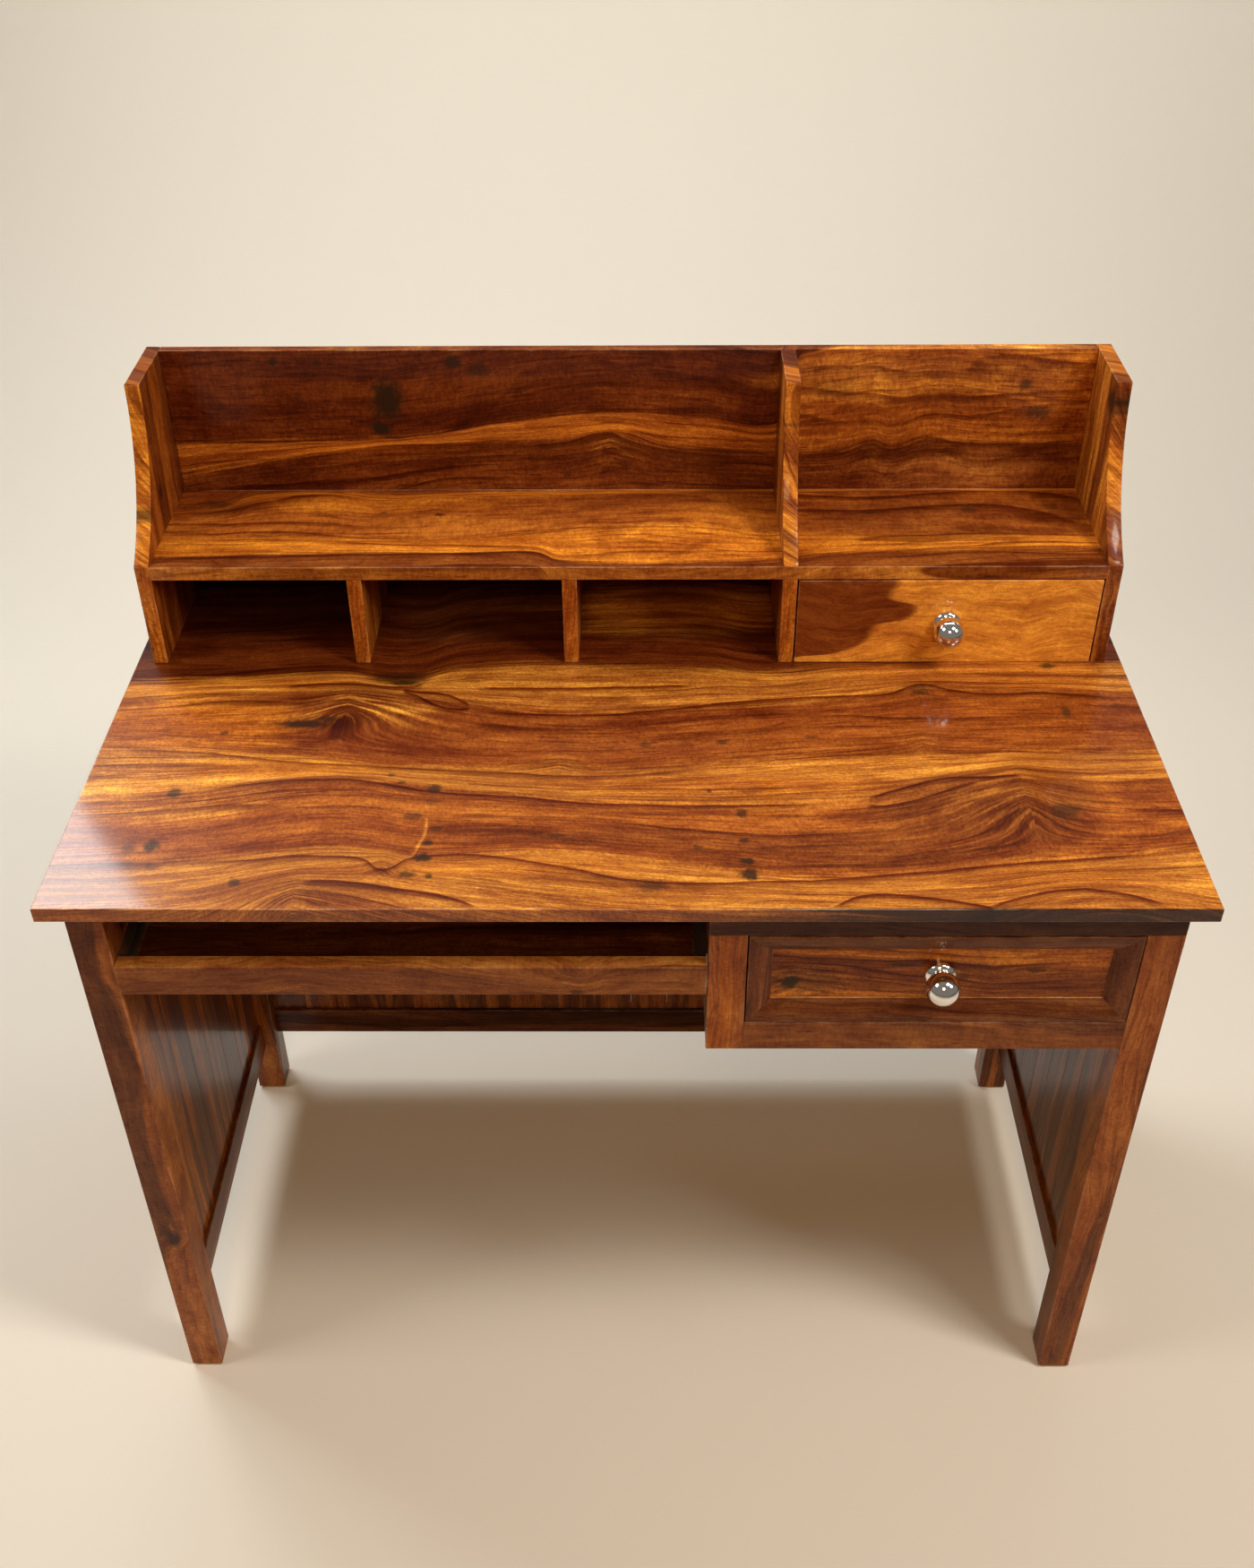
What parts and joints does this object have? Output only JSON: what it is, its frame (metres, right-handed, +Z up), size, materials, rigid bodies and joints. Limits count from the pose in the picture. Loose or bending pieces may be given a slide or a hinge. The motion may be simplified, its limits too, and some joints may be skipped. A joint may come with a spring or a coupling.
{
  "type": "writing desk with hutch",
  "caption": "Hardwood writing desk with a sliding keyboard tray, a panelled drawer, and a hutch with open shelf, cubbyholes and small drawer.",
  "frame": {"origin": "centre of the bounding box at floor level, under the feet", "axes": "+Z up, +X along the desk's length towards the drawer bay, front of the desk faces -Y"},
  "size_m": [1.1, 0.611, 1.052],
  "materials": {
    "desktop_wood": "clear gloss lacquer on sheesham with golden and dark brown figure",
    "frame_wood": "satin lacquer on walnut-brown sheesham",
    "panel_wood": "satin lacquer on glued upright strips",
    "hutch_wood": "clear gloss lacquer on figured sheesham",
    "front_wood": "clear gloss lacquer on figured sheesham",
    "inner_wood": "thin lacquer on plain hardwood",
    "chrome": "polished chrome plate",
    "slide_steel": "zinc-plated pressed steel",
    "screw_steel": "zinc-plated steel"
  },
  "bodies": {
    "desk": {"desktop": "desktop_wood", "front_left_leg": "frame_wood", "front_right_leg": "frame_wood", "rear_left_leg": "frame_wood", "rear_right_leg": "frame_wood", "left_lower_rail": "frame_wood", "right_lower_rail": "frame_wood", "left_apron": "frame_wood", "right_apron": "frame_wood", "back_lower_rail": "frame_wood", "back_apron": "frame_wood", "bay_stile": "frame_wood", "slide_cleat": "frame_wood", "bay_top_rail": "frame_wood", "bay_bottom_rail": "frame_wood", "left_panel": "panel_wood", "right_panel": "panel_wood", "back_panel": "panel_wood", "bay_partition": "inner_wood", "left_runner": "inner_wood", "right_runner": "inner_wood", "hutch_left_end": "hutch_wood", "hutch_right_end": "hutch_wood", "hutch_shelf": "hutch_wood", "hutch_left_divider": "hutch_wood", "hutch_middle_divider": "hutch_wood", "hutch_right_divider": "hutch_wood", "hutch_upper_divider": "hutch_wood", "hutch_back_panel": "hutch_wood", "left_slide_outer": "slide_steel", "right_slide_outer": "slide_steel", "desktop_screws": "screw_steel", "hutch_screws": "screw_steel"},
    "keyboard_tray": {"tray_panel": "frame_wood", "tray_lip": "frame_wood", "left_slide_inner": "slide_steel", "right_slide_inner": "slide_steel"},
    "slide_cages": {"left_slide_cage": "slide_steel", "right_slide_cage": "slide_steel"},
    "desk_drawer": {"desk_drawer_front": "front_wood", "top_moulding": "front_wood", "bottom_moulding": "front_wood", "left_moulding": "front_wood", "right_moulding": "front_wood", "desk_drawer_left_side": "inner_wood", "desk_drawer_right_side": "inner_wood", "desk_drawer_back": "inner_wood", "desk_drawer_bottom": "inner_wood", "desk_drawer_knob": "chrome", "desk_drawer_knob_screw": "screw_steel"},
    "hutch_drawer": {"hutch_drawer_front": "front_wood", "hutch_drawer_left_side": "inner_wood", "hutch_drawer_right_side": "inner_wood", "hutch_drawer_back": "inner_wood", "hutch_drawer_bottom": "inner_wood", "hutch_drawer_knob": "chrome", "hutch_drawer_knob_screw": "screw_steel"}
  },
  "joints": [
    {"name": "tray_slide", "type": "slide", "parent": "desk", "child": "keyboard_tray", "axis": [0, -1, 0], "range_m": [0, 0.26]},
    {"name": "cage_slide", "type": "slide", "parent": "desk", "child": "slide_cages", "axis": [0, -1, 0], "range_m": [0, 0.13]},
    {"name": "desk_drawer_slide", "type": "slide", "parent": "desk", "child": "desk_drawer", "axis": [0, -1, 0], "range_m": [0, 0.28]},
    {"name": "hutch_drawer_slide", "type": "slide", "parent": "desk", "child": "hutch_drawer", "axis": [0, -1, 0], "range_m": [0, 0.11]}
  ],
  "couplings": [
    {"joint": "cage_slide", "follows": "tray_slide", "ratio": 0.5}
  ]
}
